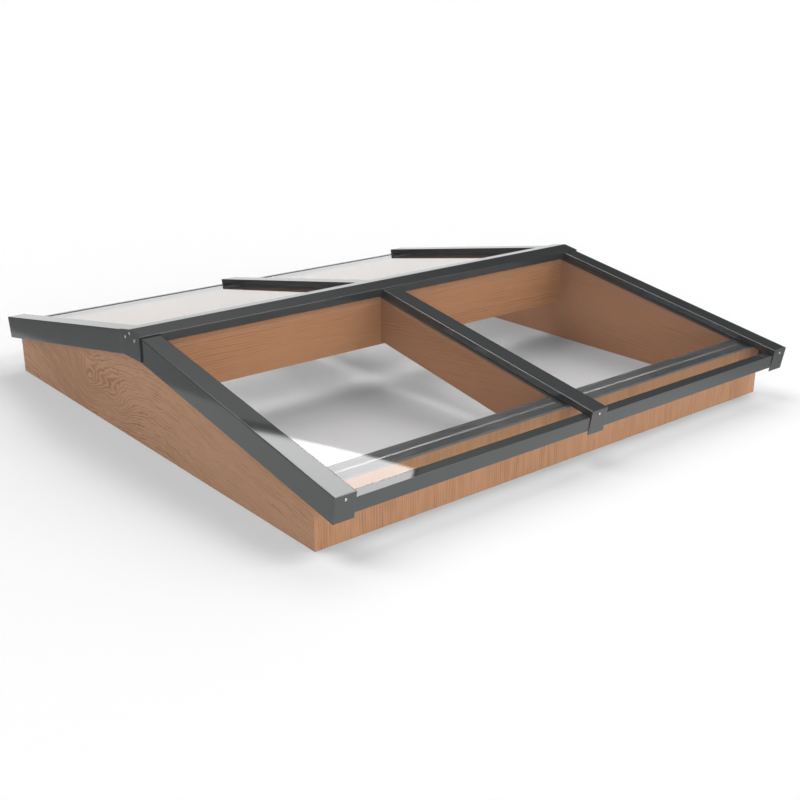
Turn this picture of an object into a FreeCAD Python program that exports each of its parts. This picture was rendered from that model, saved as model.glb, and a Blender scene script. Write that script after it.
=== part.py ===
import FreeCAD, Part
import os

import Sketcher

# Gable-ended roof lantern: a timber upstand with two gable boards, two eaves boards, a ridge
# beam and one pair of rafters, glazed with four panes held by aluminium bars.
# X runs along the ridge, the front eaves face -Y, and Z = 0 is the underside of the boards.

doc = FreeCAD.newDocument("roof_lantern")

# Driving dimensions in millimetres, and the pitch in degrees
DIMENSIONS = [
    ("frame_length", 1730, "outside length of the timber, over the gable boards"),
    ("frame_width", 1700, "outside width of the timber, over the eaves boards"),
    ("upstand_height", 150, "height of the eaves boards' outer faces"),
    ("roof_pitch", 10, "slope of both sides of the roof, degrees"),
    ("board_thickness", 47, "thickness of the gable and eaves boards"),
    ("rafter_thickness", 47, "thickness of the rafters"),
    ("rafter_depth", 145, "depth of the rafters, square to the slope"),
    ("ridge_thickness", 75, "thickness of the ridge beam"),
    ("ridge_depth", 165, "depth of the ridge beam at its peak"),
    ("bar_width", 60, "width of the glazing bars"),
    ("base_thickness", 7, "glazing bar base with its gaskets, from timber to glass"),
    ("web_width", 10, "upstanding web of a glazing bar base"),
    ("glass_thickness", 10, "thickness of the panes"),
    ("glass_clearance", 3, "gap between a pane's edge and a web"),
    ("cap_height", 19.5, "height of a glazing bar cap over the glass"),
    ("cap_wall", 2.5, "wall of a glazing bar cap"),
    ("cap_radius", 2, "rounding of a cap's long edges"),
    ("gable_drop", 71, "depth of the gable caps' outer flange and of the end plates"),
    ("gable_projection", 5.5, "gable flange's outer face beyond the gable board"),
    ("plate_thickness", 2.5, "thickness of the bars' end plates"),
    ("eaves_overhang", 82.5, "length of glass past the eaves board, down the slope"),
    ("eaves_lip", 28, "top flange of an eaves cap, over the glass"),
    ("eaves_grip", 18, "lower flange of an eaves cap, under the glass"),
    ("eaves_face", 41.5, "height of an eaves cap's face"),
    ("eaves_wall", 2, "wall of an eaves cap"),
    ("channel_width", 6, "screw channel along the middle of an eaves bar"),
    ("channel_depth", 2, "depth of that screw channel"),
    ("ridge_cover", 57.5, "half width of the ridge cap, seen from above"),
    ("ridge_sheet", 3.5, "thickness of the ridge cap's two slopes"),
    ("ridge_skirt", 2.5, "thickness of the ridge cap's skirts"),
    ("ridge_plate_height", 81.5, "height of the ridge end plates at their peak"),
    ("ridge_plate_thickness", 4.5, "thickness of the ridge end plates"),
    ("fit_gap", 0.5, "gap between metal pieces that meet end to end"),
    ("ridge_gap", 2, "gap between the front and back bars at the ridge"),
]

sheet = doc.addObject("Spreadsheet::Sheet", "size")
for row, (alias, value, meaning) in enumerate(DIMENSIONS, start=1):
    sheet.set(f"A{row}", meaning)
    sheet.set(f"B{row}", str(value))
    sheet.setAlias(f"B{row}", alias)
doc.recompute()

FRONT, BACK = -1, 1
LEFT, MIDDLE, RIGHT = -1, 0, 1
SIDES = {"front": FRONT, "back": BACK}
BAYS = {"left": LEFT, "right": RIGHT}
BARS = {"left": LEFT, "mid": MIDDLE, "right": RIGHT}

# Levels on a slope, measured square to it from the timber's sloping top
GLASS_BED = "size.base_thickness"
GLASS_TOP = "(size.base_thickness + size.glass_thickness)"
CAP_ROOF = "(size.base_thickness + size.glass_thickness + size.cap_height - size.cap_wall)"
CAP_TOP = "(size.base_thickness + size.glass_thickness + size.cap_height)"
FLANGE_FOOT = f"({CAP_TOP} - size.gable_drop)"

# Distances down a slope, from the peak of the timber
BAR_HEAD = f"((size.gable_drop - {CAP_TOP}) * tan(size.roof_pitch) + size.ridge_gap)"
PANE_HEAD = "((size.web_width / 2 + size.glass_clearance) / cos(size.roof_pitch))"
BOARD_EDGE = "(size.frame_width / 2 / cos(size.roof_pitch))"
PANE_FOOT = f"({BOARD_EDGE} + size.eaves_overhang)"
CAP_FOOT = f"({PANE_FOOT} + size.fit_gap + size.eaves_wall)"

# Distances along the ridge, from the middle of the lantern
GABLE_FACE = "(size.frame_length / 2 + size.gable_projection)"
GABLE_BAR = f"({GABLE_FACE} - size.bar_width / 2)"
INSIDE_LENGTH = "(size.frame_length - 2 * size.board_thickness)"
BAY_START = "(size.bar_width / 2 + size.fit_gap)"
BAY_END = f"({GABLE_BAR} - size.bar_width / 2 - size.fit_gap)"
BAY_LENGTH = f"({BAY_END} - {BAY_START})"
PANE_START = "(size.web_width / 2 + size.glass_clearance)"
PANE_END = f"({GABLE_BAR} - size.web_width / 2 - size.glass_clearance)"
PANE_WIDTH = f"({PANE_END} - {PANE_START})"

# Height of the timber's peak
PEAK = "(size.upstand_height + size.frame_width / 2 * tan(size.roof_pitch))"


def roof_height(level, outward):
    """Height of the roof surface at a level over the timber and a distance from the ridge line."""
    return f"({PEAK} + ({level}) / cos(size.roof_pitch) - ({outward}) * tan(size.roof_pitch))"


def origin_plane(body, role):
    """One of a body's own origin planes."""
    return next(item for item in body.Origin.OriginFeatures if item.Role == role)


def draw_outlines(body, role, outlines, start):
    """A sketch of closed outlines on an origin plane, with every corner bound to the sheet."""
    sketch = body.newObject("Sketcher::SketchObject", f"{body.Name}_section")
    sketch.AttachmentSupport = [(origin_plane(body, role), "")]
    sketch.MapMode = "FlatFace"
    sketch.setExpression("AttachmentOffset.Base.z", start)
    for corners in outlines:
        points = [FreeCAD.Vector(*(float(sheet.evalExpression(place)) for place in corner))
                  for corner in corners]
        first = sketch.GeometryCount
        for index, point in enumerate(points):
            ahead = points[(index + 1) % len(points)]
            sketch.addGeometry(Part.LineSegment(point, ahead), False)
        for index, (corner, point) in enumerate(zip(corners, points)):
            line = first + index
            ahead = first + (index + 1) % len(points)
            sketch.addConstraint(Sketcher.Constraint("Coincident", line, 2, ahead, 1))
            for kind, place, value in zip(("DistanceX", "DistanceY"), corner, point):
                datum = sketch.addConstraint(Sketcher.Constraint(kind, -1, 1, line, 1, value))
                sketch.setExpression(f"Constraints[{datum}]", place)
    return sketch


def pad(body, sketch, length, reverse=False):
    """Pad a section of a body over a length."""
    feature = body.newObject("PartDesign::Pad", f"{body.Name}_pad")
    feature.Profile = sketch
    feature.setExpression("Length", length)
    feature.Reversed = reverse
    sketch.Visibility = False
    return feature


def extrusion(label, role, corners, start, length, reverse=False):
    """A named body: one closed section, padded from a start over a length."""
    body = doc.addObject("PartDesign::Body", label)
    body.Label = label
    section = draw_outlines(body, role, [corners], start)
    pad(body, section, length, reverse)
    return body


def along_ridge(label, corners, start, length):
    """A body whose section, in Y and Z, runs along the ridge."""
    return extrusion(label, "YZ_Plane", corners, start, length)


def down_slope(label, side, corners, start, foot):
    """A body whose section, in X and Z, runs down its slope from a start to a foot."""
    offset = start if side == FRONT else f"-({start})"
    return extrusion(label, "XZ_Plane", corners, offset, f"{foot} - {start}", reverse=side == BACK)


def lay_on_slope(body, side, across="0"):
    """Turn a body onto the front or back slope of the timber, at a distance across the roof."""
    pitch = float(sheet.evalExpression("size.roof_pitch"))
    slope = FreeCAD.Rotation(FreeCAD.Vector(-side, 0, 0), pitch)
    body.Placement = FreeCAD.Placement(FreeCAD.Vector(), slope)
    body.setExpression("Placement.Rotation.Angle", "size.roof_pitch")
    body.setExpression("Placement.Base.x", across)
    body.setExpression("Placement.Base.z", PEAK)


def round_long_edges(body, level, outer_faces):
    """Round the edges that run down the slope at a level, on the given outer faces."""
    doc.recompute()
    height = float(sheet.evalExpression(level))
    places = [float(sheet.evalExpression(face)) for face in outer_faces]
    base = body.Tip
    chosen = []
    for number, edge in enumerate(base.Shape.Edges, start=1):
        ends = [vertex.Point for vertex in edge.Vertexes]
        runs_down = abs(ends[0].x - ends[-1].x) + abs(ends[0].z - ends[-1].z) < 1e-6
        on_level = abs(ends[0].z - height) < 1e-6
        if runs_down and on_level and any(abs(ends[0].x - place) < 1e-6 for place in places):
            chosen.append(f"Edge{number}")
    fillet = body.newObject("PartDesign::Fillet", f"{body.Name}_rounding")
    fillet.Base = (base, chosen)
    fillet.setExpression("Radius", "size.cap_radius")


def bar_place(bar):
    """Distance of a bar's centre line from the middle of the lantern."""
    return f"{bar} * {GABLE_BAR}"


def bay_start(bay, near, far):
    """Where a piece of a bay begins along X, from its near and far ends."""
    return near if bay == RIGHT else f"-({far})"


def gable_board(label, start):
    half = "size.frame_width / 2"
    corners = [
        (f"-{half}", "0"),
        (half, "0"),
        (half, "size.upstand_height"),
        ("0", PEAK),
        (f"-{half}", "size.upstand_height"),
    ]
    along_ridge(label, corners, start, "size.board_thickness")


def eaves_board(label, side):
    outer = "size.frame_width / 2"
    inner = "(size.frame_width / 2 - size.board_thickness)"
    corners = [
        (f"{side} * {outer}", "0"),
        (f"{side} * {inner}", "0"),
        (f"{side} * {inner}", roof_height("0", inner)),
        (f"{side} * {outer}", roof_height("0", outer)),
    ]
    along_ridge(label, corners, f"-{INSIDE_LENGTH} / 2", INSIDE_LENGTH)


def ridge_beam():
    half = "size.ridge_thickness / 2"
    foot = f"{PEAK} - size.ridge_depth"
    corners = [
        (f"-{half}", foot),
        (half, foot),
        (half, roof_height("0", half)),
        ("0", PEAK),
        (f"-{half}", roof_height("0", half)),
    ]
    along_ridge("ridge_beam", corners, f"-{INSIDE_LENGTH} / 2", INSIDE_LENGTH)


def rafter(label, side):
    """Rafter hung between the ridge beam and the inside of an eaves board."""
    head = "size.ridge_thickness / 2"
    foot = "(size.frame_width / 2 - size.board_thickness)"
    under = "-size.rafter_depth"
    corners = [
        (f"{side} * {head}", roof_height("0", head)),
        (f"{side} * {foot}", roof_height("0", foot)),
        (f"{side} * {foot}", roof_height(under, foot)),
        (f"{side} * {head}", roof_height(under, head)),
    ]
    along_ridge(label, corners, "-size.rafter_thickness / 2", "size.rafter_thickness")


def bar_base(label, side, bar):
    """Base of a glazing bar: a flat bed for two panes with a web between them."""
    half = "size.bar_width / 2"
    web = "size.web_width / 2"
    edges = {LEFT: half, RIGHT: half}
    if bar != MIDDLE:
        edges[bar] = f"({half} - size.cap_wall - size.fit_gap)"
    corners = [
        (f"-{edges[LEFT]}", "0"),
        (edges[RIGHT], "0"),
        (edges[RIGHT], GLASS_BED),
        (web, GLASS_BED),
        (web, CAP_ROOF),
        (f"-{web}", CAP_ROOF),
        (f"-{web}", GLASS_BED),
        (f"-{edges[LEFT]}", GLASS_BED),
    ]
    body = down_slope(label, side, corners, BAR_HEAD, BOARD_EDGE)
    lay_on_slope(body, side, bar_place(bar))


def bar_cap(label, side, bar):
    """Cap of a glazing bar: a channel that holds the glass, with an outer flange on a gable."""
    half = "size.bar_width / 2"
    inner = f"({half} - size.cap_wall)"
    feet = {LEFT: GLASS_TOP, RIGHT: GLASS_TOP}
    if bar != MIDDLE:
        feet[bar] = FLANGE_FOOT
    corners = [
        (f"-{half}", feet[LEFT]),
        (f"-{half}", CAP_TOP),
        (half, CAP_TOP),
        (half, feet[RIGHT]),
        (inner, feet[RIGHT]),
        (inner, CAP_ROOF),
        (f"-{inner}", CAP_ROOF),
        (f"-{inner}", feet[LEFT]),
    ]
    body = down_slope(label, side, corners, BAR_HEAD, CAP_FOOT)
    round_long_edges(body, CAP_TOP, [half, f"-{half}"])
    lay_on_slope(body, side, bar_place(bar))


def end_plate(label, side, bar):
    """Plate that closes the lower end of a glazing bar."""
    half = "size.bar_width / 2"
    corners = [
        (f"-{half}", FLANGE_FOOT),
        (half, FLANGE_FOOT),
        (half, CAP_TOP),
        (f"-{half}", CAP_TOP),
    ]
    body = down_slope(label, side, corners, CAP_FOOT, f"{CAP_FOOT} + size.plate_thickness")
    lay_on_slope(body, side, bar_place(bar))


def pane(label, side, bay):
    start = bay_start(bay, PANE_START, PANE_END)
    corners = [
        (start, GLASS_BED),
        (f"{start} + {PANE_WIDTH}", GLASS_BED),
        (f"{start} + {PANE_WIDTH}", GLASS_TOP),
        (start, GLASS_TOP),
    ]
    body = down_slope(label, side, corners, PANE_HEAD, PANE_FOOT)
    lay_on_slope(body, side)


def eaves_bar(label, side, bay):
    """Flat bar on the eaves board that carries the glass, with a screw channel in its top."""
    outer = BOARD_EDGE
    inner = f"({BOARD_EDGE} - size.bar_width)"
    middle = f"({BOARD_EDGE} - size.bar_width / 2)"
    channel_bed = "(size.base_thickness - size.channel_depth)"
    profile = [
        (outer, "0"),
        (outer, GLASS_BED),
        (f"{middle} + size.channel_width / 2", GLASS_BED),
        (f"{middle} + size.channel_width / 2", channel_bed),
        (f"{middle} - size.channel_width / 2", channel_bed),
        (f"{middle} - size.channel_width / 2", GLASS_BED),
        (inner, GLASS_BED),
        (inner, "0"),
    ]
    corners = [(f"{side} * ({outward})", level) for outward, level in profile]
    body = along_ridge(label, corners, bay_start(bay, BAY_START, BAY_END), BAY_LENGTH)
    lay_on_slope(body, side)


def eaves_cap(label, side, bay):
    """F-shaped closure that grips the lower edge of a pane, with a drip face."""
    outer = CAP_FOOT
    inner = f"({CAP_FOOT} - size.eaves_wall)"
    lip = f"({CAP_FOOT} - size.eaves_lip)"
    grip = f"({CAP_FOOT} - size.eaves_grip)"
    top = f"({GLASS_TOP} + size.eaves_wall)"
    drip = f"({GLASS_TOP} + size.eaves_wall - size.eaves_face)"
    grip_foot = "(size.base_thickness - size.eaves_wall)"
    profile = [
        (outer, top),
        (outer, drip),
        (inner, drip),
        (inner, grip_foot),
        (grip, grip_foot),
        (grip, GLASS_BED),
        (inner, GLASS_BED),
        (inner, GLASS_TOP),
        (lip, GLASS_TOP),
        (lip, top),
    ]
    corners = [(f"{side} * {outward}", level) for outward, level in profile]
    body = along_ridge(label, corners, bay_start(bay, BAY_START, BAY_END), BAY_LENGTH)
    lay_on_slope(body, side)


def ridge_base(label, bay):
    """Folded bed on the ridge beam for the heads of two panes, with a web under the ridge cap."""
    web = "size.web_width / 2"
    edge = "size.ridge_thickness / 2"
    right_half = [
        (edge, roof_height("0", edge)),
        (edge, roof_height(GLASS_BED, edge)),
        (web, roof_height(GLASS_BED, web)),
        (web, roof_height(CAP_TOP, web)),
    ]
    left_half = [(f"-{outward}", height) for outward, height in reversed(right_half)]
    corners = [("0", PEAK), *right_half, ("0", roof_height(CAP_TOP, "0")), *left_half]
    along_ridge(label, corners, bay_start(bay, BAY_START, BAY_END), BAY_LENGTH)


def ridge_cap():
    """Folded cap over the heads of all bars, with skirts down to the glass between the bars."""
    cover = "size.ridge_cover"
    sheet_top = f"({CAP_TOP} + size.ridge_sheet)"
    folds = [
        ("0", roof_height(CAP_TOP, "0")),
        (cover, roof_height(CAP_TOP, cover)),
        (cover, roof_height(sheet_top, cover)),
        ("0", roof_height(sheet_top, "0")),
        (f"-{cover}", roof_height(sheet_top, cover)),
        (f"-{cover}", roof_height(CAP_TOP, cover)),
    ]
    body = along_ridge("ridge_cap", folds, f"-{GABLE_FACE}", f"2 * {GABLE_FACE}")
    inside = "(size.ridge_cover - size.ridge_skirt)"
    skirt = [
        (inside, roof_height(GLASS_TOP, inside)),
        (cover, roof_height(GLASS_TOP, cover)),
        (cover, roof_height(CAP_TOP, cover)),
        (inside, roof_height(CAP_TOP, inside)),
    ]
    skirts = [[(f"{side} * {outward}", height) for outward, height in skirt] for side in (FRONT, BACK)]
    right_skirts = pad(body, draw_outlines(body, "YZ_Plane", skirts, BAY_START), BAY_LENGTH)
    left_skirts = body.newObject("PartDesign::Mirrored", "ridge_cap_left_skirts")
    left_skirts.Originals = [right_skirts]
    left_skirts.MirrorPlane = (origin_plane(body, "YZ_Plane"), [""])
    body.Tip = left_skirts


def ridge_plate(label, start):
    """Five-sided plate that closes an end of the ridge cap and the joint of two gable caps."""
    cover = "size.ridge_cover"
    sheet_top = f"({CAP_TOP} + size.ridge_sheet)"
    foot = f"{roof_height(sheet_top, '0')} - size.ridge_plate_height"
    corners = [
        (f"-{cover}", foot),
        (cover, foot),
        (cover, roof_height(sheet_top, cover)),
        ("0", roof_height(sheet_top, "0")),
        (f"-{cover}", roof_height(sheet_top, cover)),
    ]
    along_ridge(label, corners, start, "size.ridge_plate_thickness")


gable_board("left_gable_board", "-size.frame_length / 2")
gable_board("right_gable_board", "size.frame_length / 2 - size.board_thickness")
ridge_beam()
for side_name, side in SIDES.items():
    eaves_board(f"{side_name}_eaves_board", side)
    rafter(f"{side_name}_rafter", side)
    for bar_name, bar in BARS.items():
        bar_base(f"{side_name}_{bar_name}_bar_base", side, bar)
        bar_cap(f"{side_name}_{bar_name}_bar_cap", side, bar)
        end_plate(f"{side_name}_{bar_name}_end_plate", side, bar)
    for bay_name, bay in BAYS.items():
        pane(f"{side_name}_{bay_name}_pane", side, bay)
        eaves_bar(f"{side_name}_{bay_name}_eaves_bar", side, bay)
        eaves_cap(f"{side_name}_{bay_name}_eaves_cap", side, bay)
for bay_name, bay in BAYS.items():
    ridge_base(f"{bay_name}_ridge_base", bay)
ridge_cap()
ridge_plate("left_ridge_plate", f"-{GABLE_FACE} - size.ridge_plate_thickness")
ridge_plate("right_ridge_plate", GABLE_FACE)

doc.recompute()

for item in doc.Objects:
    faults = {"Invalid", "Error"} & set(item.State)
    if faults:
        raise RuntimeError(f"{item.Label} did not rebuild: {faults}")

bodies = [item for item in doc.Objects if item.TypeId == "PartDesign::Body"]
for body in bodies:
    if body.Shape.isNull() or not body.Shape.isValid() or len(body.Shape.Solids) != 1:
        raise RuntimeError(f"{body.Label} is not one valid solid")

os.makedirs("parts", exist_ok=True)
for body in bodies:
    body.Shape.exportStep(f"parts/{body.Label}.step")
print(f"{len(bodies)} pieces written")
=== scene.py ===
"""Looks of a timber roof lantern with aluminium glazing bars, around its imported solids. Metres."""

from math import cos, degrees, radians, sin

import bmesh
import bpy
from mathutils import Matrix, Vector


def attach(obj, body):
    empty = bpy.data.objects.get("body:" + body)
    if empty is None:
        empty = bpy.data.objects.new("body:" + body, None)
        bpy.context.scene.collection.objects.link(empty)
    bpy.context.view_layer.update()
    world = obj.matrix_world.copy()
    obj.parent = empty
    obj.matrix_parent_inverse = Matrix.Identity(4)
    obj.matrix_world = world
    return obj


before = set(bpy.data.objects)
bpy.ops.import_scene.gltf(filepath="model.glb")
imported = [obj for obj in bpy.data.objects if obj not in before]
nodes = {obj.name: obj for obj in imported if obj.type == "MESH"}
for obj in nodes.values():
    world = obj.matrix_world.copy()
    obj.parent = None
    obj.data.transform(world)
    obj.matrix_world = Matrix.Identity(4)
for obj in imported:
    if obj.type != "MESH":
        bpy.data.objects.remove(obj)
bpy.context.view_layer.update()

QUARTER = radians(90)
DEGREES = degrees(1)         # degrees in a radian
SIDES = (("front", -1), ("back", 1))
ENDS = (("left", -1), ("right", 1))

PITCH = radians(10)          # slope of the glass
PEAK = 0.29988               # height of the timber's ridge line
CAP_TOP = 0.0365             # top of the bar caps, square to the slope
PLATE_FACE = 0.9506          # outer face of the end plates, down the slope
RIDGE_PLATE_FACE = 0.875     # outer face of the ridge plates
RIDGE_EDGE = 0.0575          # front and back edge of the ridge cap
FRAME_HALF = 0.86            # half the timber frame's length
BOARD_END = 0.8495           # just inside the ends of the gable boards
PAINTED_LIGHT_HEIGHTS = (0.095, 0.115)   # heights between which the painted light on the upper part of an eaves board fades in


# Node tools

def new_group(name, inputs, outputs):
    """A shader node group with named sockets, and its two end nodes."""
    group = bpy.data.node_groups.new(name, "ShaderNodeTree")
    for socket, kind, value in inputs:
        made = group.interface.new_socket(socket, in_out="INPUT", socket_type=kind)
        if value is not None:
            made.default_value = value
    for socket, kind in outputs:
        group.interface.new_socket(socket, in_out="OUTPUT", socket_type=kind)
    return group, group.nodes.new("NodeGroupInput"), group.nodes.new("NodeGroupOutput")


def feed(tree, socket, value):
    """Links a socket to an output, or sets it to a plain value."""
    if isinstance(value, bpy.types.NodeSocket):
        tree.links.new(value, socket)
    elif value is not None:
        socket.default_value = value


def calc(tree, operation, *values, clamp=False):
    node = tree.nodes.new("ShaderNodeMath")
    node.operation = operation
    node.use_clamp = clamp
    for socket, value in zip(node.inputs, values):
        feed(tree, socket, value)
    return node.outputs[0]


def vector_calc(tree, operation, *values):
    node = tree.nodes.new("ShaderNodeVectorMath")
    node.operation = operation
    for socket, value in zip(node.inputs, values):
        feed(tree, socket, value)
    return node.outputs[0]


def dot(tree, first, second):
    node = tree.nodes.new("ShaderNodeVectorMath")
    node.operation = "DOT_PRODUCT"
    feed(tree, node.inputs[0], first)
    feed(tree, node.inputs[1], second)
    return node.outputs["Value"]


def noise(tree, vector, scale, detail, rough, stretch=None):
    if stretch:
        vector = vector_calc(tree, "MULTIPLY", vector, stretch)
    node = tree.nodes.new("ShaderNodeTexNoise")
    feed(tree, node.inputs["Vector"], vector)
    node.inputs["Scale"].default_value = scale
    node.inputs["Detail"].default_value = detail
    node.inputs["Roughness"].default_value = rough
    return node.outputs["Fac"]


def ramp(tree, value, low, high, to_low=0.0, to_high=1.0):
    """Eases from one level to another while a value goes from low to high."""
    node = tree.nodes.new("ShaderNodeMapRange")
    node.interpolation_type = "SMOOTHSTEP"
    for socket, number in zip(node.inputs, (value, low, high, to_low, to_high)):
        feed(tree, socket, number)
    return node.outputs[0]


def blend(tree, share, first, second):
    node = tree.nodes.new("ShaderNodeMix")
    for socket, value in zip(node.inputs[:1] + node.inputs[2:4], (share, first, second)):
        feed(tree, socket, value)
    return node.outputs[0]


def blend_colour(tree, share, first, second):
    node = tree.nodes.new("ShaderNodeMix")
    node.data_type = "RGBA"
    feed(tree, node.inputs[0], share)
    feed(tree, node.inputs[6], first)
    feed(tree, node.inputs[7], second)
    return node.outputs[2]


def split(tree, vector):
    node = tree.nodes.new("ShaderNodeSeparateXYZ")
    feed(tree, node.inputs[0], vector)
    return node.outputs


def join(tree, x, y, z):
    node = tree.nodes.new("ShaderNodeCombineXYZ")
    for socket, value in zip(node.inputs, (x, y, z)):
        feed(tree, socket, value)
    return node.outputs[0]


def place(tree, group, **values):
    """A shared group in a material. An underscore in a keyword stands for a space in a socket's name."""
    node = tree.nodes.new("ShaderNodeGroup")
    node.node_tree = group
    for socket, value in values.items():
        feed(tree, node.inputs[socket.replace("_", " ")], value)
    return node.outputs


def new_material(name):
    material = bpy.data.materials.new(name)
    material.use_nodes = True
    tree = material.node_tree
    shader = tree.nodes["Principled BSDF"]
    return material, tree, shader


def object_coords(tree, turn=(0, 0, 0), centre=(0, 0, 0)):
    """Object coordinates. On timber they are turned: X along the grain, Y across the face, Z in depth."""
    coords = tree.nodes.new("ShaderNodeTexCoord").outputs["Object"]
    mapping = tree.nodes.new("ShaderNodeMapping")
    mapping.vector_type = "TEXTURE"
    mapping.inputs["Location"].default_value = centre
    mapping.inputs["Rotation"].default_value = turn
    tree.links.new(coords, mapping.inputs["Vector"])
    return mapping.outputs[0]


def bump(tree, shader, height, distance, strength, normal=None):
    node = tree.nodes.new("ShaderNodeBump")
    feed(tree, node.inputs["Normal"], normal)
    node.inputs["Distance"].default_value = distance
    node.inputs["Strength"].default_value = strength
    tree.links.new(height, node.inputs["Height"])
    tree.links.new(node.outputs[0], shader.inputs["Normal"])


# Shared effects

EYE_SHARPNESS = (11.0, 19.0, 0.0)   # how fast an eye fades along and across the board
SECOND_EYE_SHARE = 0.8              # size of the second eye beside the first
BEND_START = -0.42                  # place along the board past which the grain bends
BEND_EASE = 0.01                    # softness of the bend
CLOSEST_AT = -0.15                  # place along the board past which the rings draw no closer
BELT_SCALE, BELT_SHIFT = 2.4, -0.1  # width and place of the belt of strong rings round the eyes
BELT_GAIN = 26.0                    # strength of the rings there, for the size of the eye
RING_RISE = (0.1, 0.6)              # share of a ring in which it darkens
RING_FALL = (0.7, 1.0)              # share of a ring in which it pales again
FAINTEST_RING = 0.5
BAND_SHARE = 0.65                   # broad bands in the fibre, the rest is fine


def timber_figure_group():
    """Growth rings cut along a board: bowls of grain (Crown) and eyes, or straight streaks."""
    group, start, end = new_group(
        "timber_figure",
        [("Vector", "NodeSocketVector", None), ("Ring Gap", "NodeSocketFloat", 0.012),
         ("Tilt", "NodeSocketFloat", 0.0), ("Crown", "NodeSocketFloat", 0.0),
         ("Crown Width", "NodeSocketFloat", 0.1), ("Depth", "NodeSocketFloat", 2.5),
         ("Waver", "NodeSocketFloat", 0.02), ("Ripple", "NodeSocketFloat", 0.004),
         ("Eye", "NodeSocketFloat", 0.0), ("Eye Place", "NodeSocketVector", None),
         ("Second Eye", "NodeSocketVector", None), ("Spread", "NodeSocketFloat", 0.0),
         ("Bend", "NodeSocketFloat", 0.0)],
        [("Ring", "NodeSocketFloat"), ("Fibre", "NodeSocketFloat"),
         ("Pore", "NodeSocketFloat"), ("Tone", "NodeSocketFloat")])
    tree, given = group, start.outputs
    vector = given["Vector"]
    x, y, z = split(tree, vector)
    sway = noise(tree, vector, scale=2.6, detail=2.0, rough=0.5, stretch=(0.8, 2.2, 2.2))
    curl = noise(tree, vector, scale=24.0, detail=2.0, rough=0.55, stretch=(0.8, 1.7, 1.7))
    eyes = []
    for centre in ("Eye Place", "Second Eye"):
        away = vector_calc(tree, "SUBTRACT", vector, given[centre])
        away = vector_calc(tree, "MULTIPLY", away, EYE_SHARPNESS)
        eyes.append(calc(tree, "EXPONENT", calc(tree, "MULTIPLY", -1.0, dot(tree, away, away))))
    apart = calc(tree, "MULTIPLY_ADD", eyes[1], SECOND_EYE_SHARE, eyes[0])
    past = calc(tree, "SUBTRACT", BEND_START, x)
    bend = calc(tree, "ADD", past, calc(tree, "SQRT", calc(tree, "MULTIPLY_ADD", past, past, BEND_EASE)))
    bowl = calc(tree, "SQRT", calc(tree, "ADD", calc(tree, "MULTIPLY", x, x),
                                   calc(tree, "MULTIPLY", given["Crown Width"], given["Crown Width"])))
    closer = calc(tree, "MULTIPLY", given["Spread"], calc(tree, "MAXIMUM", x, CLOSEST_AT))
    closer = calc(tree, "SUBTRACT", 1.0, closer)
    across = calc(tree, "MULTIPLY_ADD", given["Tilt"], x, y)
    across = calc(tree, "MULTIPLY_ADD", given["Crown"], bowl, across)
    across = calc(tree, "MULTIPLY_ADD", given["Bend"], bend, across)
    across = calc(tree, "MULTIPLY_ADD", calc(tree, "SUBTRACT", sway, 0.5), given["Waver"], across)
    across = calc(tree, "MULTIPLY_ADD", calc(tree, "SUBTRACT", curl, 0.5), given["Ripple"], across)
    across = calc(tree, "MULTIPLY", across, closer)
    across = calc(tree, "MULTIPLY_ADD", given["Depth"], z, across)
    across = calc(tree, "MULTIPLY_ADD", apart, given["Eye"], across)
    grain = join(tree, x, across, z)
    turns = calc(tree, "DIVIDE", across, given["Ring Gap"])
    step = calc(tree, "FRACT", turns)
    rise = ramp(tree, step, *RING_RISE)
    fall = ramp(tree, step, *RING_FALL, to_low=1.0, to_high=0.0)
    white = tree.nodes.new("ShaderNodeTexWhiteNoise")
    white.noise_dimensions = "1D"
    tree.links.new(calc(tree, "FLOOR", turns), white.inputs["W"])
    weight = calc(tree, "MULTIPLY_ADD", white.outputs["Value"], 1 - FAINTEST_RING, FAINTEST_RING)
    patch = noise(tree, vector, scale=5.0, detail=1.0, rough=0.5, stretch=(0.6, 1.2, 1.2))
    patch = ramp(tree, patch, 0.36, 0.62, to_low=0.6)
    dash = noise(tree, grain, scale=1.0, detail=1.0, rough=0.5, stretch=(16, 75, 75))
    dash = ramp(tree, dash, 0.36, 0.58, to_low=0.4)
    ring = calc(tree, "MULTIPLY", calc(tree, "MULTIPLY", rise, fall), weight)
    ring = calc(tree, "MULTIPLY", calc(tree, "MULTIPLY", ring, patch), dash)
    beside = calc(tree, "MULTIPLY_ADD", x, BELT_SCALE, BELT_SHIFT)
    belt = calc(tree, "EXPONENT", calc(tree, "MULTIPLY", -1.0, calc(tree, "MULTIPLY", beside, beside)))
    belt = calc(tree, "MULTIPLY", belt, given["Eye"])
    ring = calc(tree, "MULTIPLY", ring, calc(tree, "MULTIPLY_ADD", belt, BELT_GAIN, 1.0))
    fibre = noise(tree, grain, scale=1.0, detail=3.0, rough=0.6, stretch=(14, 420, 420))
    band = noise(tree, grain, scale=1.0, detail=3.0, rough=0.65, stretch=(3, 115, 115))
    fibre = calc(tree, "MULTIPLY_ADD", band, BAND_SHARE, calc(tree, "MULTIPLY", fibre, 1 - BAND_SHARE))
    pore = noise(tree, grain, scale=1.0, detail=1.0, rough=0.5, stretch=(70, 1300, 1300))
    pore = ramp(tree, pore, 0.62, 0.74)
    tone = noise(tree, vector, scale=3.2, detail=2.0, rough=0.5, stretch=(0.5, 2.0, 2.0))
    for socket, value in (("Ring", ring), ("Fibre", fibre), ("Pore", pore), ("Tone", tone)):
        tree.links.new(value, end.inputs[socket])
    return group


TONE_SHARE, PORE_SHARE = 0.7, 0.25            # what broad tones and pores add to the deep colour
TIMBER_ROUGHNESS, FIBRE_ROUGHNESS = 0.46, 0.18
RING_RELIEF, FIBRE_RELIEF, PORE_RELIEF = 0.5, 0.35, -0.5


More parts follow.
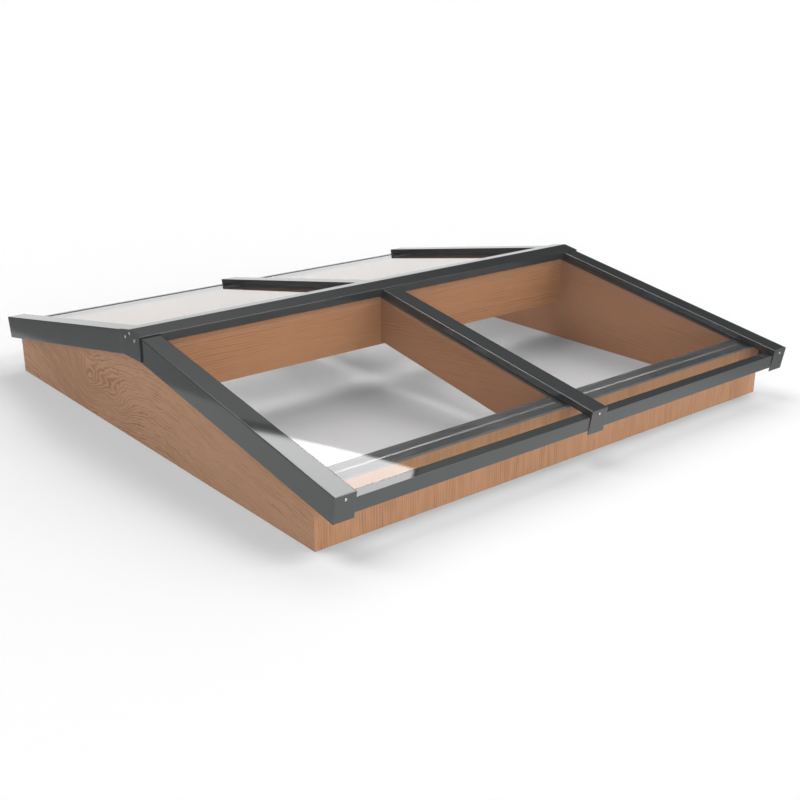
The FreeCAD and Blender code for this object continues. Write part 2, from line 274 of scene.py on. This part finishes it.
def timber_finish_group():
    """Colour, gloss and relief of the oiled timber from its figure."""
    group, start, end = new_group(
        "timber_finish",
        [("Ring", "NodeSocketFloat", 0.0), ("Fibre", "NodeSocketFloat", 0.5),
         ("Pore", "NodeSocketFloat", 0.0), ("Tone", "NodeSocketFloat", 0.5),
         ("Pale", "NodeSocketColor", None), ("Deep", "NodeSocketColor", None),
         ("Contrast", "NodeSocketFloat", 0.6), ("Streak", "NodeSocketFloat", 0.55)],
        [("Color", "NodeSocketColor"), ("Roughness", "NodeSocketFloat"), ("Height", "NodeSocketFloat")])
    tree, given = group, start.outputs
    share = calc(tree, "MULTIPLY", given["Ring"], given["Contrast"])
    streak = calc(tree, "MULTIPLY", calc(tree, "SUBTRACT", given["Fibre"], 0.5), given["Streak"])
    share = calc(tree, "ADD", share, streak)
    share = calc(tree, "MULTIPLY_ADD", calc(tree, "SUBTRACT", given["Tone"], 0.5), TONE_SHARE, share)
    share = calc(tree, "MULTIPLY_ADD", given["Pore"], PORE_SHARE, share, clamp=True)
    colour = blend_colour(tree, share, given["Pale"], given["Deep"])
    rough = calc(tree, "MULTIPLY_ADD", given["Fibre"], FIBRE_ROUGHNESS, TIMBER_ROUGHNESS)
    height = calc(tree, "MULTIPLY", given["Fibre"], FIBRE_RELIEF)
    height = calc(tree, "MULTIPLY_ADD", given["Ring"], RING_RELIEF, height)
    height = calc(tree, "MULTIPLY_ADD", given["Pore"], PORE_RELIEF, height)
    for socket, value in (("Color", colour), ("Roughness", rough), ("Height", height)):
        tree.links.new(value, end.inputs[socket])
    return group


SPECK_SHARE = 0.2        # what specks add to the clouds in a coat's tone
CLOUD_ROUGHNESS = 0.06
SPECK_RELIEF = 0.25


def coat_texture_group():
    """The fine grain of a sprayed and baked coat, with faint clouds in its tone and gloss."""
    group, start, end = new_group(
        "coat_texture",
        [("Vector", "NodeSocketVector", None), ("Shade", "NodeSocketColor", None),
         ("Lift", "NodeSocketColor", None), ("Gloss", "NodeSocketFloat", 0.3)],
        [("Color", "NodeSocketColor"), ("Roughness", "NodeSocketFloat"), ("Height", "NodeSocketFloat")])
    tree, given = group, start.outputs
    cloud = noise(tree, given["Vector"], scale=4.0, detail=3.0, rough=0.6)
    speck = noise(tree, given["Vector"], scale=1400.0, detail=1.0, rough=0.5)
    peel = noise(tree, given["Vector"], scale=520.0, detail=2.0, rough=0.5)
    share = calc(tree, "MULTIPLY_ADD", calc(tree, "SUBTRACT", speck, 0.5), SPECK_SHARE, cloud, clamp=True)
    colour = blend_colour(tree, share, given["Shade"], given["Lift"])
    rough = calc(tree, "SUBTRACT", cloud, 0.5)
    rough = calc(tree, "MULTIPLY_ADD", rough, CLOUD_ROUGHNESS, given["Gloss"])
    height = calc(tree, "MULTIPLY_ADD", speck, SPECK_RELIEF, peel)
    for socket, value in (("Color", colour), ("Roughness", rough), ("Height", height)):
        tree.links.new(value, end.inputs[socket])
    return group


TIMBER_FIGURE = timber_figure_group()
TIMBER_FINISH = timber_finish_group()
COAT_TEXTURE = coat_texture_group()


# Finishes

PALE = (0.560, 0.287, 0.165)
DEEP = (0.380, 0.170, 0.085)
PANE_PASSES = (0.915, 0.908, 0.908, 1)     # lamp light that each face of a pane lets through
EAVES_CAP_PASSES = (0.65, 0.65, 0.65, 1)   # the same for an eaves cap, so that the board behind it is lit
EDGE_ROUNDING = 0.0015                     # how far a coat looks rounded at the edges
TARNISH = 0.86                             # darkest tone of bright metal


def toned(colour, tone):
    return [value * share for value, share in zip(colour, tone)] + [1]


def sawn(tree, turn, centre, tone, contrast, streak, **figure):
    """Timber cut with its grain laid this way, in this tone."""
    cut = place(tree, TIMBER_FIGURE, Vector=object_coords(tree, turn, centre), **figure)
    return place(tree, TIMBER_FINISH, Ring=cut["Ring"], Fibre=cut["Fibre"], Pore=cut["Pore"],
                 Tone=cut["Tone"], Pale=toned(PALE, tone), Deep=toned(DEEP, tone),
                 Contrast=contrast, Streak=streak)


def timber(name, face, ends=None, top=None):
    """Oiled timber. Light that it throws on its surroundings is white, as on a retouched studio floor."""
    material, tree, shader = new_material(name)
    look = sawn(tree, **face)
    colour = look["Color"]
    if ends:
        _, y, _ = split(tree, object_coords(tree))
        at_end = calc(tree, "GREATER_THAN", calc(tree, "ABSOLUTE", y), BOARD_END)
        colour = blend_colour(tree, at_end, colour, sawn(tree, **ends)["Color"])
    # Painted light: above the given heights the board takes the paler look given as top
    if top:
        _, _, z = split(tree, object_coords(tree))
        colour = blend_colour(tree, ramp(tree, z, *PAINTED_LIGHT_HEIGHTS), colour, sawn(tree, **top)["Color"])
    grey = tree.nodes.new("ShaderNodeRGBToBW")
    tree.links.new(colour, grey.inputs[0])
    thrown = tree.nodes.new("ShaderNodeLightPath").outputs["Is Diffuse Ray"]
    tree.links.new(blend_colour(tree, thrown, colour, grey.outputs[0]), shader.inputs["Base Color"])
    tree.links.new(look["Roughness"], shader.inputs["Roughness"])
    shader.inputs["Specular IOR Level"].default_value = 0.35
    bump(tree, shader, look["Height"], distance=0.0004, strength=0.5)
    return material


def let_light_through(tree, shader, tint):
    """Lamp light passes the piece unbent, so that what lies behind it isn't shaded."""
    clear = tree.nodes.new("ShaderNodeBsdfTransparent")
    clear.inputs["Color"].default_value = tint
    path = tree.nodes.new("ShaderNodeLightPath")
    straight = calc(tree, "MAXIMUM", path.outputs["Is Shadow Ray"], path.outputs["Is Diffuse Ray"])
    choice = tree.nodes.new("ShaderNodeMixShader")
    tree.links.new(straight, choice.inputs[0])
    tree.links.new(shader.outputs[0], choice.inputs[1])
    tree.links.new(clear.outputs[0], choice.inputs[2])
    tree.links.new(choice.outputs[0], tree.nodes["Material Output"].inputs["Surface"])


def textured(name, shade, lift, gloss):
    """A material with the coat texture in its colour and gloss, and the texture's relief."""
    material, tree, shader = new_material(name)
    look = place(tree, COAT_TEXTURE, Vector=object_coords(tree), Shade=shade, Lift=lift, Gloss=gloss)
    tree.links.new(look["Color"], shader.inputs["Base Color"])
    tree.links.new(look["Roughness"], shader.inputs["Roughness"])
    return material, tree, shader, look["Height"]


def powder_coat(name, shade, lift, gloss, passes=None):
    """A sprayed and baked coat under a thin glossy skin."""
    material, tree, shader, relief = textured(name, shade, lift, gloss)
    shader.inputs["Specular IOR Level"].default_value = 0.0
    shader.inputs["Coat Weight"].default_value = 1.0
    shader.inputs["Coat Roughness"].default_value = 0.03
    shader.inputs["Coat IOR"].default_value = 1.6
    edge = tree.nodes.new("ShaderNodeBevel")
    edge.samples = 6
    edge.inputs["Radius"].default_value = EDGE_ROUNDING
    tree.links.new(edge.outputs[0], shader.inputs["Coat Normal"])
    bump(tree, shader, relief, distance=0.000003, strength=0.1, normal=edge.outputs[0])
    if passes:
        let_light_through(tree, shader, passes)
    return material


def soft_plastic(name, shade, lift, gloss, shine):
    """Dull extruded plastic."""
    material, tree, shader, relief = textured(name, shade, lift, gloss)
    shader.inputs["Specular IOR Level"].default_value = shine
    bump(tree, shader, relief, distance=0.00003, strength=0.4)
    return material


def glazing():
    """Clear glass."""
    material, tree, shader = new_material("glazing")
    shader.inputs["Base Color"].default_value = (0.98, 0.98, 0.98, 1)
    shader.inputs["Roughness"].default_value = 0.0
    shader.inputs["IOR"].default_value = 1.5
    shader.inputs["Transmission Weight"].default_value = 1.0
    let_light_through(tree, shader, PANE_PASSES)
    return material


def bright_metal(name, tint, rough):
    """Plain bright metal with a fine grain and a little tarnish."""
    dull = [value * TARNISH for value in tint[:3]] + [1]
    material, tree, shader, relief = textured(name, dull, tint, rough)
    shader.inputs["Metallic"].default_value = 1.0
    bump(tree, shader, relief, distance=0.00002, strength=0.3)
    return material


ALONG_GABLE = (QUARTER, 0, QUARTER)
# Each face's tone holds the board's own hue and also painted light: it brightens or darkens that face to
# make up for the lamp light that reaches it. The eaves face's look is also used on the ends of the gable
# boards.
EAVES_FACE = dict(
    turn=(QUARTER, -QUARTER, 0), centre=(0.3, 0.85, 0.0), tone=(0.962, 0.983, 0.926), contrast=0.95,
    streak=2.0, Ring_Gap=0.0075, Depth=0.6, Waver=0.06, Ripple=0.004)
# Painted light: the upper part of an eaves board, under the glass, is painted paler than the face below
# it
EAVES_PAINTED_LIGHT = dict(EAVES_FACE, tone=(1.145, 1.215, 1.125))
LEFT_GABLE_FACE = dict(
    turn=ALONG_GABLE, centre=(0, 0.35, 0.1), tone=(0.94, 1.01, 1.02), contrast=0.7, streak=0.55,
    Ring_Gap=0.0105, Tilt=-0.25, Crown=-0.45, Crown_Width=0.06, Depth=1.6, Waver=0.05, Ripple=0.022,
    Eye=0.075, Eye_Place=(-0.02, 0.005, 0), Second_Eye=(-0.195, -0.012, 0), Spread=0.95, Bend=0.19)
RIGHT_GABLE_FACE = dict(
    turn=ALONG_GABLE, centre=(0, -0.3, 0.1), tone=(1.135, 1.115, 1.095), contrast=0.3, streak=0.9,
    Ring_Gap=0.012, Tilt=-0.05, Depth=1.6, Waver=0.03, Ripple=0.008)
RIDGE_FACE = dict(
    turn=(QUARTER, 0, 0), centre=(0.1, 0.0, 0.2), tone=(1.195, 1.157, 1.007), contrast=0.55, streak=1.1,
    Ring_Gap=0.009, Depth=1.5, Waver=0.03, Ripple=0.006)
RAFTER_FACE = dict(
    turn=ALONG_GABLE, centre=(0.0, 0.3, 0.2), tone=(1.044, 0.996, 0.929), contrast=0.35, streak=0.8,
    Ring_Gap=0.012, Tilt=0.1, Depth=1.5, Waver=0.03, Ripple=0.006)
COAT = dict(shade=(0.042, 0.045, 0.046, 1), lift=(0.052, 0.055, 0.056, 1), gloss=0.22)

left_gable_timber = timber("left_gable_timber", LEFT_GABLE_FACE, ends=EAVES_FACE)
right_gable_timber = timber("right_gable_timber", RIGHT_GABLE_FACE, ends=EAVES_FACE)
eaves_timber = timber("eaves_timber", EAVES_FACE, top=EAVES_PAINTED_LIGHT)
ridge_timber = timber("ridge_timber", RIDGE_FACE)
rafter_timber = timber("rafter_timber", RAFTER_FACE)
anthracite = powder_coat("anthracite", **COAT)
eaves_anthracite = powder_coat("eaves_anthracite", **COAT, passes=EAVES_CAP_PASSES)
bar_grey = soft_plastic("bar_grey", (0.140, 0.144, 0.148, 1), (0.183, 0.187, 0.191, 1),
                        gloss=0.42, shine=0.5)
bar_black = soft_plastic("bar_black", (0.022, 0.021, 0.020, 1), (0.032, 0.031, 0.030, 1),
                         gloss=0.5, shine=0.1)
base_grey = soft_plastic("base_grey", (0.088, 0.078, 0.071, 1), (0.108, 0.097, 0.089, 1),
                         gloss=0.5, shine=0.3)
glass = glazing()
steel = bright_metal("screw_steel", (0.82, 0.82, 0.80, 1), rough=0.22)
strip_metal = bright_metal("strip_metal", (0.27, 0.275, 0.275, 1), rough=0.38)

FINISHES = (
    ("left_gable_board", left_gable_timber), ("right_gable_board", right_gable_timber),
    ("eaves_board", eaves_timber), ("ridge_beam", ridge_timber), ("rafter", rafter_timber),
    ("bar_base", base_grey), ("ridge_base", bar_black), ("eaves_bar", bar_grey), ("pane", glass),
    ("bar_cap", anthracite), ("end_plate", anthracite), ("eaves_cap", eaves_anthracite),
    ("ridge_cap", anthracite), ("ridge_plate", anthracite),
)
for name, node in nodes.items():
    finish = next(material for part, material in FINISHES if name.endswith(part))
    node.data.materials.clear()
    node.data.materials.append(finish)


# Small pieces

def slope_frame(side, across):
    """Turns X across, Y down the slope and Z square to it into the part's frame. The front side is -1."""
    down = Vector((0, side * cos(PITCH), -sin(PITCH)))
    up = Vector((0, side * sin(PITCH), cos(PITCH)))
    right = down.cross(up)
    turn = Matrix((right, down, up)).transposed().to_4x4()
    return Matrix.Translation((across, 0, PEAK)) @ turn


def finish_piece(name, shape, material, smooth=True):
    bmesh.ops.remove_doubles(shape, verts=shape.verts, dist=1e-6)
    bmesh.ops.recalc_face_normals(shape, faces=shape.faces)
    mesh = bpy.data.meshes.new(name)
    shape.to_mesh(mesh)
    shape.free()
    mesh.materials.append(material)
    if smooth:
        mesh.shade_smooth()
    else:
        mesh.shade_flat()
    piece = bpy.data.objects.new(name, mesh)
    bpy.context.scene.collection.objects.link(piece)
    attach(piece, "root")


# Change of width and share of the rise at each step of a screw head
HEAD_STEPS = ((0.0, 0.45), (-0.12, 0.3), (-0.2, 0.18), (-0.2, 0.07))
SOCKET_WIDTH, SOCKET_DEPTH = 0.72, 0.7     # shares of the head's flat top and of its rise


def add_screw(shape, seat, radius, rise):
    """A low round head with a socket, its seat at the origin of the given place, facing Z."""
    head = bmesh.ops.create_circle(shape, cap_ends=True, radius=radius, segments=32)["verts"]
    face = head[0].link_faces[0]
    for grow, lift in HEAD_STEPS:
        face = bmesh.ops.extrude_discrete_faces(shape, faces=[face])["faces"][0]
        centre = face.calc_center_median()
        bmesh.ops.translate(shape, verts=face.verts, vec=(0, 0, rise * lift))
        bmesh.ops.scale(shape, verts=face.verts, vec=(1 + grow, 1 + grow, 1),
                        space=Matrix.Translation(-centre))
        head += face.verts
    face = bmesh.ops.extrude_discrete_faces(shape, faces=[face])["faces"][0]
    bmesh.ops.scale(shape, verts=face.verts, vec=(SOCKET_WIDTH, SOCKET_WIDTH, 1))
    head += face.verts
    face = bmesh.ops.extrude_discrete_faces(shape, faces=[face])["faces"][0]
    bmesh.ops.translate(shape, verts=face.verts, vec=(0, 0, -rise * SOCKET_DEPTH))
    head += face.verts
    bmesh.ops.transform(shape, matrix=seat, verts=list({v for v in head if v.is_valid}))


CAP_PLACES = (("left", -0.8405), ("mid", 0.0), ("right", 0.8405))
END_SCREW = dict(radius=0.0032, rise=0.0016)
END_SCREW_DROP = 0.0135      # from the caps' top to the screws
for side_name, side in SIDES:
    for cap_name, across in CAP_PLACES:
        shape = bmesh.new()
        turn_out = Matrix.Rotation(-QUARTER, 4, "X")
        middle = (0, PLATE_FACE, CAP_TOP - END_SCREW_DROP)
        seat = slope_frame(side, across) @ Matrix.Translation(middle) @ turn_out
        add_screw(shape, seat, **END_SCREW)
        finish_piece(f"{side_name}_{cap_name}_screw", shape, steel)

RIDGE_SCREW = dict(radius=0.0044, rise=0.0006)
RIDGE_SCREW_PLACES = ((0.0, 0.3295), (-0.027, 0.314), (0.027, 0.314))
for end_name, end in ENDS:
    shape = bmesh.new()
    for y, z in RIDGE_SCREW_PLACES:
        seat = Matrix.Translation((end * RIDGE_PLATE_FACE, y, z)) @ Matrix.Rotation(end * QUARTER, 4, "Y")
        add_screw(shape, seat, **RIDGE_SCREW)
    finish_piece(f"{end_name}_ridge_screws", shape, steel)

# Dark strips along the ridge cap's front and back edge at both gable ends: painted shade, standing where
# the gap under the cap's edge lies in shadow
SHADE_STRIP_HEIGHTS = (0.3269, 0.3301)
SHADE_STRIP_ENDS = (0.811, 0.8702)
SHADE_STRIP_THICKNESS = 0.0009
SHADE_STRIP_OUT = 0.0005            # middle of a strip, out from the ridge cap's edge
SHADE_STRIP_ROUNDING = 0.0002
for side_name, side in SIDES:
    for end_name, end in ENDS:
        shape = bmesh.new()
        bmesh.ops.create_cube(shape, size=1.0)
        size = (SHADE_STRIP_ENDS[1] - SHADE_STRIP_ENDS[0], SHADE_STRIP_THICKNESS, SHADE_STRIP_HEIGHTS[1] - SHADE_STRIP_HEIGHTS[0])
        bmesh.ops.scale(shape, verts=shape.verts, vec=size)
        bmesh.ops.bevel(shape, geom=shape.edges[:], offset=SHADE_STRIP_ROUNDING, segments=2, profile=0.5,
                        affect="EDGES")
        middle = (end * sum(SHADE_STRIP_ENDS) / 2, side * (RIDGE_EDGE + SHADE_STRIP_OUT), sum(SHADE_STRIP_HEIGHTS) / 2)
        bmesh.ops.translate(shape, verts=shape.verts, vec=middle)
        finish_piece(f"{side_name}_{end_name}_ridge_shade_strip", shape, bar_black, smooth=False)

STRIP_MIDDLE = 0.8331        # middle of the eaves bars' channels, down the slope
STRIP_FLOOR = 0.005          # bottom of the channels, square to the slope
STRIP_ENDS = (0.0545, 0.786)
STRIP_WIDTH, STRIP_HEIGHT = 0.0058, 0.0018
STRIP_ROUNDING = 0.0012
for side_name, side in SIDES:
    for bay_name, bay in ENDS:
        shape = bmesh.new()
        bmesh.ops.create_cube(shape, size=1.0)
        size = (STRIP_ENDS[1] - STRIP_ENDS[0], STRIP_WIDTH, STRIP_HEIGHT)
        bmesh.ops.scale(shape, verts=shape.verts, vec=size)
        upper = [e for e in shape.edges if all(v.co.z > 0 for v in e.verts)]
        bmesh.ops.bevel(shape, geom=upper, offset=STRIP_ROUNDING, offset_type="OFFSET", segments=4,
                        profile=0.5, affect="EDGES", material=-1)
        middle = (0, STRIP_MIDDLE, STRIP_FLOOR + STRIP_HEIGHT / 2)
        seat = slope_frame(side, bay * sum(STRIP_ENDS) / 2) @ Matrix.Translation(middle)
        bmesh.ops.transform(shape, matrix=seat, verts=shape.verts)
        finish_piece(f"{side_name}_{bay_name}_eaves_strip", shape, strip_metal)


# Stage, light and camera

FLOOR_HALF = 400
FLOOR_WHITE = (0.95, 0.95, 0.95, 1)
# painted shade: colour of the floor inside the frame where panes mirror it
FLOOR_DIM = (0.2, 0.2, 0.2, 1)
PANE_FACES = 2.5             # between the two faces of one pane and the third that a ray meets


def floor():
    """White floor. Metal mirrors the studio instead, and where panes mirror the floor inside the frame it
    is painted dim, a painted shade.
    """
    shape = bmesh.new()
    bmesh.ops.create_grid(shape, x_segments=1, y_segments=1, size=FLOOR_HALF)
    mesh = bpy.data.meshes.new("floor")
    shape.to_mesh(mesh)
    shape.free()
    material, tree, shader = new_material("floor_white")
    shader.inputs["Roughness"].default_value = 1.0
    shader.inputs["Specular IOR Level"].default_value = 0.0
    path = tree.nodes.new("ShaderNodeLightPath")
    mirrored = calc(tree, "MULTIPLY", calc(tree, "MINIMUM", path.outputs["Glossy Depth"], 1.0),
                    calc(tree, "GREATER_THAN", path.outputs["Transmission Depth"], PANE_FACES))
    x, y, _ = split(tree, object_coords(tree))
    for along in (x, y):
        inside = calc(tree, "LESS_THAN", calc(tree, "ABSOLUTE", along), FRAME_HALF)
        mirrored = calc(tree, "MULTIPLY", mirrored, inside)
    tree.links.new(blend_colour(tree, mirrored, FLOOR_WHITE, FLOOR_DIM), shader.inputs["Base Color"])
    mesh.materials.append(material)
    plane = bpy.data.objects.new("floor", mesh)
    plane.visible_glossy = False
    bpy.context.scene.collection.objects.link(plane)


def window(tree, azimuth, height, left, right, low, high, soft):
    """A soft-edged lit window in the sky, in degrees."""
    shown = ramp(tree, azimuth, right - soft, right + soft)
    for edge in (ramp(tree, azimuth, left - soft, left + soft, to_low=1.0, to_high=0.0),
                 ramp(tree, height, low - soft, low + soft),
                 ramp(tree, height, high - soft, high + soft, to_low=1.0, to_high=0.0)):
        shown = calc(tree, "MULTIPLY", shown, edge)
    return shown


def lit(tree, azimuth, height, boxes, level=0.0):
    """Brightness of a sky with these lit windows in it."""
    for left, right, low, high, soft, strength in boxes:
        shown = window(tree, azimuth, height, left, right, low, high, soft)
        level = calc(tree, "MULTIPLY_ADD", shown, strength, level)
    return level


# Left and right side by bearing, lower and upper edge, softness of the edges, in degrees, and brightness
LAMPS = (
    (-60, -150, 0, 15, 3, 3.8),      # front, low
    (-150, -184, 15, 35, 3, 1.9),    # left
    (41, -60, 0, 35, 3, 1.85),       # right, low
    (-30, -60, 35, 60, 3, 7.0),      # front right, high
    (-60, -120, 35, 60, 3, 1.25),    # front, high
    (80, 0, 35, 60, 3, 2.75),        # back right, high
    (145, 110, 35, 60, 3, 3.4),      # back left, high
    (184, 90, 60, 94, 3, 5.0),       # over the back left
)
MIRRORED = (
    (41, -100, 48, 86, 3, 9.0),      # right and front, high
    (-22, -150, 39, 53, 2, 5.5),     # front
    (16, -30, 4, 40, 6, 1.9),        # right, low
)
SOFTBOX = (
    (64, 41.3, 38.0, 80, 0.12, 4.9),
    (104, 64, 56.0, 80, 0.12, 11.0),
)
SOFTBOX_EDGES = (105, 41, 37.5, 80.5)
SOFTBOX_DISTANCE = 3000.0
SOFTBOX_IN_GLASS = 1.35      # gain in the smoothest mirrors


def compass(tree, direction):
    """Compass bearing and height of a direction, in degrees."""
    x, y, z = split(tree, vector_calc(tree, "NORMALIZE", direction))
    azimuth = calc(tree, "MULTIPLY", calc(tree, "ARCTAN2", y, x), DEGREES)
    return azimuth, calc(tree, "MULTIPLY", calc(tree, "ARCSINE", z), DEGREES)


def softbox():
    """The lamp behind the part that shows in the glass and the metal, and nowhere else."""
    left, right, low, high = SOFTBOX_EDGES
    shape = bmesh.new()
    bmesh.ops.create_grid(shape, x_segments=16, y_segments=12, size=0.5)
    for vert in shape.verts:
        bearing = radians((left + right) / 2 + vert.co.x * (left - right))
        height = radians((low + high) / 2 + vert.co.y * (high - low))
        flat = cos(height)
        vert.co = Vector((flat * cos(bearing), flat * sin(bearing), sin(height))) * SOFTBOX_DISTANCE
    mesh = bpy.data.meshes.new("softbox")
    shape.to_mesh(mesh)
    shape.free()
    material, tree, shader = new_material("softbox_light")
    azimuth, height = compass(tree, object_coords(tree))
    lamp = tree.nodes.new("ShaderNodeEmission")
    in_glass = tree.nodes.new("ShaderNodeLightPath").outputs["Is Singular Ray"]
    shown = lit(tree, azimuth, height, SOFTBOX)
    gain = blend(tree, in_glass, 1.0, SOFTBOX_IN_GLASS)
    tree.links.new(calc(tree, "MULTIPLY", shown, gain), lamp.inputs["Strength"])
    tree.links.new(lamp.outputs[0], tree.nodes["Material Output"].inputs["Surface"])
    tree.nodes.remove(shader)
    mesh.materials.append(material)
    panel = bpy.data.objects.new("softbox", mesh)
    panel.visible_camera = panel.visible_diffuse = False
    panel.visible_transmission = panel.visible_shadow = False
    bpy.context.scene.collection.objects.link(panel)


DARKEST = 0.02               # least brightness of the mirrored sky
LEFT_EDGE_LEAN = 0.44        # lean of the bright ground's edge on the left, in height by bearing
RIGHT_GROUND = 1.25          # brightness of the mirrored ground on the right


def mirrored_ground(tree, x, y, azimuth, height):
    """What metal and glass mirror below the lamps: bright ground with a sharp edge on the left."""
    front = ramp(tree, height, -31.0, -25.0, to_low=1.3, to_high=0.5)
    left_far = ramp(tree, height, -17.5, -13.0, to_low=0.47, to_high=0.22)
    left_edge = calc(tree, "MULTIPLY_ADD", azimuth, LEFT_EDGE_LEAN, height)
    left = ramp(tree, left_edge, 32.45, 32.8, to_low=0.97, to_high=left_far)
    behind = blend(tree, ramp(tree, x, -0.1, 0.15), left, RIGHT_GROUND)
    return blend(tree, ramp(tree, y, -0.25, 0.05), front, behind)


def mirrored_sky(tree, x, y, azimuth, height, singular):
    """What metal and glass mirror above the ground. The smoothest mirrors don't show the glow behind."""
    haze = calc(tree, "ADD", ramp(tree, x, -0.8, 0.1, to_low=0.20, to_high=0.0),
                ramp(tree, y, -0.8, 0.0, to_low=0.40, to_high=0.0))
    glow = calc(tree, "MULTIPLY", ramp(tree, height, 26.0, 38.5, to_high=0.6),
                ramp(tree, azimuth, 28.0, 54.0, to_low=0.3))
    glow = calc(tree, "MULTIPLY", glow, calc(tree, "SUBTRACT", 1.0, singular))
    haze = calc(tree, "ADD", haze, calc(tree, "ADD", glow, DARKEST))
    return lit(tree, azimuth, height, MIRRORED, haze)


def studio_sky():
    """Soft white lamps round the part, what its metal and glass mirror of them, and a white backdrop."""
    world = bpy.data.worlds.new("studio")
    world.use_nodes = True
    bpy.context.scene.world = world
    tree = world.node_tree
    tree.nodes.clear()
    coords = tree.nodes.new("ShaderNodeTexCoord").outputs["Generated"]
    azimuth, height = compass(tree, coords)
    x, y, _ = split(tree, vector_calc(tree, "NORMALIZE", coords))
    path = tree.nodes.new("ShaderNodeLightPath")
    ground = mirrored_ground(tree, x, y, azimuth, height)
    sky = mirrored_sky(tree, x, y, azimuth, height, path.outputs["Is Singular Ray"])
    mirrored = blend(tree, ramp(tree, height, 4.0, 9.0), ground, sky)
    level = blend(tree, path.outputs["Is Glossy Ray"], lit(tree, azimuth, height, LAMPS), mirrored)
    lamp = tree.nodes.new("ShaderNodeBackground")
    tree.links.new(level, lamp.inputs["Strength"])
    backdrop = tree.nodes.new("ShaderNodeBackground")
    backdrop.inputs["Color"].default_value = (1, 1, 1, 1)
    choice = tree.nodes.new("ShaderNodeMixShader")
    output = tree.nodes.new("ShaderNodeOutputWorld")
    tree.links.new(path.outputs["Is Camera Ray"], choice.inputs[0])
    tree.links.new(lamp.outputs[0], choice.inputs[1])
    tree.links.new(backdrop.outputs[0], choice.inputs[2])
    tree.links.new(choice.outputs[0], output.inputs["Surface"])


LENS, SENSOR = 49.92, 36     # millimetres
CAMERA_PLACE = (-2.1589, -2.7300, 1.2007)
CAMERA_DIP = 20.032          # degrees below level
CAMERA_TURN = -39.451        # degrees round from straight ahead


def camera():
    data = bpy.data.cameras.new("camera")
    data.lens = LENS
    data.sensor_width = SENSOR
    data.clip_end = 1000
    eye = bpy.data.objects.new("camera", data)
    eye.location = CAMERA_PLACE
    eye.rotation_euler = (radians(90 - CAMERA_DIP), 0, radians(CAMERA_TURN))
    bpy.context.scene.collection.objects.link(eye)
    bpy.context.scene.camera = eye


floor()
softbox()
studio_sky()
camera()
bpy.context.scene.view_settings.view_transform = "Standard"
